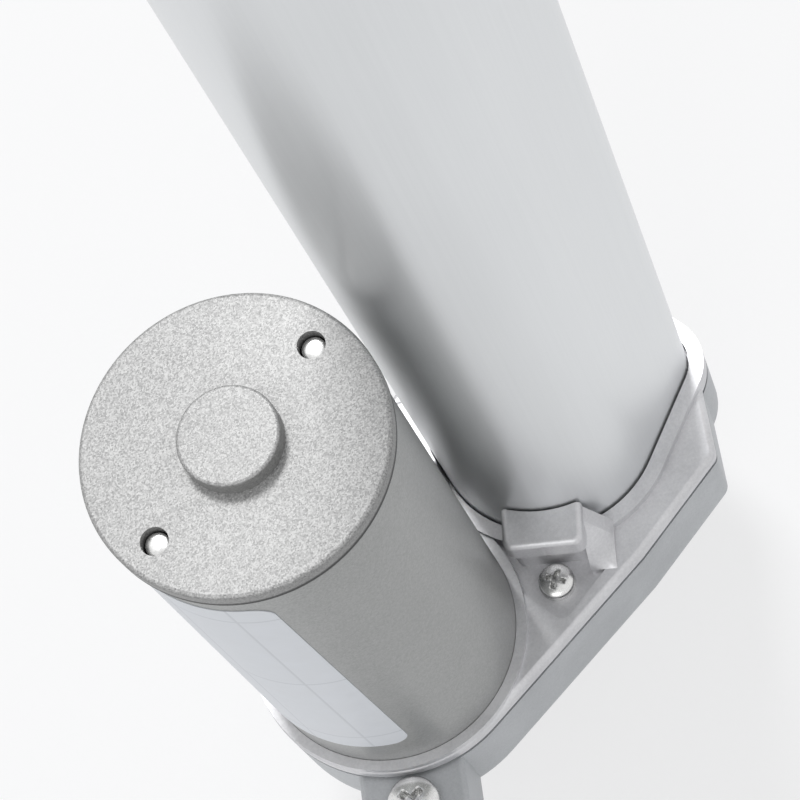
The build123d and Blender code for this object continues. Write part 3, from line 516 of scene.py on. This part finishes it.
def screwGrid(size, top, length, turn):
    # The profile is turned about its axis. The shank's radius waves with height and angle as a thread, and
    # the head's top is lowered inside a cross of two arms
    radii, heights, threadZ = screwProfile(size, length)
    angle = np.linspace(0, 2 * math.pi, everyScrew["columns"] + 1)
    r, z = np.repeat(radii, len(angle), 1), np.repeat(heights, len(angle), 1)
    wave = 0.5 + 0.5 * np.cos(2 * math.pi * threadZ / everyScrew["pitch"] - angle)
    r[-len(wave) - 2:-2] -= size["thread"] * wave
    along, over = abs(r * np.cos(angle)), abs(r * np.sin(angle))
    arm, half = everyScrew["armLength"] * size["head"], everyScrew["armHalf"] * size["head"]
    endSlope, sideSlope = everyScrew["armEnd"] * arm, everyScrew["armSide"] * half
    inside = [
        np.clip((arm - a) / endSlope, 0, 1) * np.clip((half - b) / sideSlope, 0, 1)
        for a, b in ((along, over), (over, along))
    ]
    head = slice(everyScrew["headRings"])
    z[head] -= (size["recess"] * np.maximum(*inside))[head]
    x, y = r * np.cos(angle + turn), r * np.sin(angle + turn)
    return np.stack([top[0] + x, top[1] + y, top[2] + z], axis=-1)


def screwTops(name):
    # The tops of one or two screws, from the points of the part on either side of its middle
    points = partPoints(name)
    low, high = points.min(axis=0), points.max(axis=0)
    axis = int(np.argmax((high - low)[:2]))
    beyond = points[:, axis] > (low[axis] + high[axis]) / 2
    halves = [points[beyond], points[~beyond]] if high[axis] - low[axis] > everyScrew["apart"] else [points]
    return [(*(half.min(axis=0) + half.max(axis=0))[:2] / 2, half[:, 2].max()) for half in halves]


for name, size in screws.items():
    low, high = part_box(name)
    grids = [
        screwGrid(size, top, high.z - low.z, size["turn"] + everyScrew["turnByPlace"] * top[1])
        for top in screwTops(name)
    ]
    addPiece(name + "_cross", meshFromGrids(name, grids), finishes["zinc"], "root", name)
print("stage: screws")

spindle = {
    "lead": 0.003,  # metres that the nut travels each turn
    "depth": 0.0014,  # metres
    "crest": 0.30,  # shares of the lead
    "flank": 0.16,
    "journal": 0.0040,  # radius in metres
    "tip": 0.0010,  # chamfer in metres
    "ringsPerTurn": 20,
    "columns": 48,
}


def spindleGrid():
    # The screw's radius at height z and angle a follows a trapezoid of the phase z / lead - a / turn:
    # a level crest, a straight flank down, a level root and a flank up
    low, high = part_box("lead_screw")
    outer = (high.x - low.x) / 2
    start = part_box("bearing_inner_ring")[1].z
    rings = int((high.z - start) / spindle["lead"] * spindle["ringsPerTurn"])
    z = np.linspace(start, high.z, rings)[:, None]
    angle = np.linspace(0, 2 * math.pi, spindle["columns"] + 1)[None, :]
    phase = np.mod(z / spindle["lead"] - angle / (2 * math.pi), 1.0)
    fromCrest = abs(phase - 0.5) - spindle["crest"] / 2
    r = outer - spindle["depth"] * np.clip(fromCrest / spindle["flank"], 0, 1)
    # The thread rises out of the journal over its first turn, and the far end has a chamfer
    ease = np.clip((z - start) / spindle["lead"], 0, 1)
    chamfer = outer - spindle["tip"] + (high.z - z)
    r = np.minimum(spindle["journal"] + (r - spindle["journal"]) * ease, chamfer)
    # The journal's end and side come before the thread, and the far end's middle after it
    ends = [(0.0, low.z), (spindle["journal"], low.z), (spindle["journal"], start)]
    radii = [np.full(angle.shape, radius) for radius, _ in ends] + [r, np.zeros(angle.shape)]
    heights = [np.full(angle.shape, height) for _, height in ends]
    heights += [np.repeat(z, angle.size, 1), np.full(angle.shape, high.z)]
    r, z = np.concatenate(radii), np.concatenate(heights)
    return np.stack([r * np.cos(angle), r * np.sin(angle), z], axis=-1)


addPiece("lead_screw_thread", meshFromGrids("spindle", [spindleGrid()], crease=30.0), finishes["groundSteel"],
         "screw", "lead_screw")
print("stage: lead screw")

winding = {
    "coils": 12,
    "bulge": 0.10,  # share of the section that is lost between coils
    "wires": 13,
    "wireRise": 0.00012,  # metres
    "wander": 2.0,  # radians that the wires swing to and fro at each coil
    "squareness": 0.7,  # power of the section's waves; 1 would be an ellipse
    "columns": 192,
    "rings": 78,
}


def squared(wave):
    # The same sign with its size raised, so that a circle turns towards a square with round corners
    return np.sign(wave) * abs(wave) ** winding["squareness"]


def windingGrids():
    # Each end's copper is a ring of rounded section, swollen at every coil and ribbed by its wires:
    # the section's size is scaled by the coil wave, and raised by the wire wave round the section
    low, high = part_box("armature_windings")
    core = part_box("armature_core")
    shaftLow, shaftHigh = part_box("motor_shaft")
    outer, inner = (high.x - low.x) / 2, (shaftHigh.x - shaftLow.x) / 2
    angle = np.linspace(0, 2 * math.pi, winding["columns"] + 1)[None, :]
    around = np.linspace(0, 2 * math.pi, winding["rings"] + 1)[:, None]
    coil = 0.5 + 0.5 * np.cos(winding["coils"] * angle)
    scale = 1 - winding["bulge"] * (1 - coil)
    wirePhase = winding["wires"] * around + winding["wander"] * np.sin(winding["coils"] * angle)
    wire = winding["wireRise"] * (0.5 + 0.5 * np.cos(wirePhase))
    grids = []
    for near, far in ((core[0].z, low.z), (core[1].z, high.z)):
        halfR, halfZ = (outer - inner) / 2, abs(far - near) / 2
        r = inner + halfR + (halfR * scale - winding["wireRise"] + wire) * squared(np.cos(around))
        z = (near + far) / 2 + (halfZ * scale - winding["wireRise"] + wire) * squared(np.sin(around))
        grids.append(np.stack([motorX + r * np.cos(angle), r * np.sin(angle), z], axis=-1))
    return grids


addPiece("armature_coils", meshFromGrids("coils", windingGrids(), crease=70.0), finishes["copper"],
         "rotor", "armature_windings")

segments = {
    "count": 12,
    "slit": 0.0004,  # metres, as are the next three
    "depth": 0.0005,
    "riserStep": 0.0006,
    "riserHeight": 0.0012,
    "columnsPerBar": 24,
}


def commutatorGrid():
    # A sleeve whose radius drops in narrow slits between its bars, and steps in past the riser at the core's
    # end. A slit's sides slope, and are half its depth down where its width is measured
    low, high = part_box("commutator")
    outer = (high.x - low.x) / 2
    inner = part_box("motor_shaft")[1].x - motorX
    angle = np.linspace(0, 2 * math.pi, segments["count"] * segments["columnsPerBar"] + 1)[None, :]
    toSlit = abs(np.mod(angle * segments["count"] / (2 * math.pi) + 0.5, 1.0) - 0.5)
    toSlit = toSlit * 2 * math.pi / segments["count"] * outer
    riser = outer - segments["depth"] * np.clip(1.5 - toSlit / (segments["slit"] / 2), 0, 1)
    bar, bore = riser - segments["riserStep"], np.full_like(angle, inner)
    riserTop = low.z + segments["riserHeight"]
    profile = [
        (bore, low.z), (riser, low.z), (riser, riserTop),
        (bar, riserTop), (bar, high.z), (bore, high.z),
    ]
    rows = [
        np.stack([motorX + r * np.cos(angle), r * np.sin(angle), np.full_like(r, height)], axis=-1)
        for r, height in profile
    ]
    return np.concatenate(rows + rows[:1])


addPiece("commutator_bars", meshFromGrids("bars", [commutatorGrid()]), finishes["copper"], "rotor",
         "commutator")
print("stage: armature")

studio = {
    "floor": -0.0100,  # metres; the rear eye stands on it
    "reach": 6.0,  # metres from the middle of the floor to its sides
    "floorColour": (0.98, 0.985, 1.0),
    "floorGlow": 0.66,  # share of the floor that is plain white where it is seen directly
    "seenColour": (1.0, 1.0, 1.0),  # of the floor's white and of the world behind it
    "daylight": 0.42,
    "skyColour": (0.98, 0.985, 1.0),
    "aim": (0, 0, 0.08),  # metres, as are the lamps' places and sizes; power is in watts
    "keyLamp": {"place": (0.42, 0.66, 1.45), "size": 0.42, "power": 11.0},
    "sideLamp": {"place": (-0.9, -0.5, 0.9), "size": 0.7, "power": 2.6},
}


def addFloor():
    # A broad level sheet: pale paper that takes the shadow, partly plain white where it is seen directly
    s = Shader("floorPaper")
    paper = s.node("BsdfDiffuse", {}, {"Color": studio["floorColour"]})
    white = s.node("Emission", {}, {"Color": studio["seenColour"]})
    share = s.seenDirectly() * studio["floorGlow"]
    s.node("OutputMaterial", {}, {"Surface": s.node("MixShader", {}, {0: share, 1: paper, 2: white})})
    across = np.linspace(-studio["reach"], studio["reach"], 3)
    x, y = np.meshgrid(across, across)
    sheet = meshFromGrids("floor", [np.stack([x, y, 0 * x + studio["floor"]], axis=-1)], closed=False)
    sheet.materials.append(s.material)
    made = bpy.data.objects.new("floor", sheet)
    bpy.context.scene.collection.objects.link(made)


def addLamp(name, look):
    made = bpy.data.objects.new(name, bpy.data.lights.new(name, "AREA"))
    made.data.size = look["size"]
    made.data.energy = look["power"]
    made.location = look["place"]
    ahead = Vector(studio["aim"]) - made.location
    made.rotation_euler = ahead.to_track_quat("-Z", "Y").to_euler()
    bpy.context.scene.collection.objects.link(made)


def addWorld():
    # White where it is seen directly, a soft grey where it lights
    s = Shader("world", bpy.data.worlds.new("studio"))
    grey = s.node("Background", {}, {"Color": studio["skyColour"], "Strength": studio["daylight"]})
    white = s.node("Background", {}, {"Color": studio["seenColour"], "Strength": 1.0})
    s.node("OutputWorld", {}, {"Surface": s.node("MixShader", {}, {0: s.seenDirectly(), 1: grey, 2: white})})
    bpy.context.scene.world = s.material


addFloor()
addLamp("keyLamp", studio["keyLamp"])
addLamp("sideLamp", studio["sideLamp"])
addWorld()
print("stage: floor and lamps")
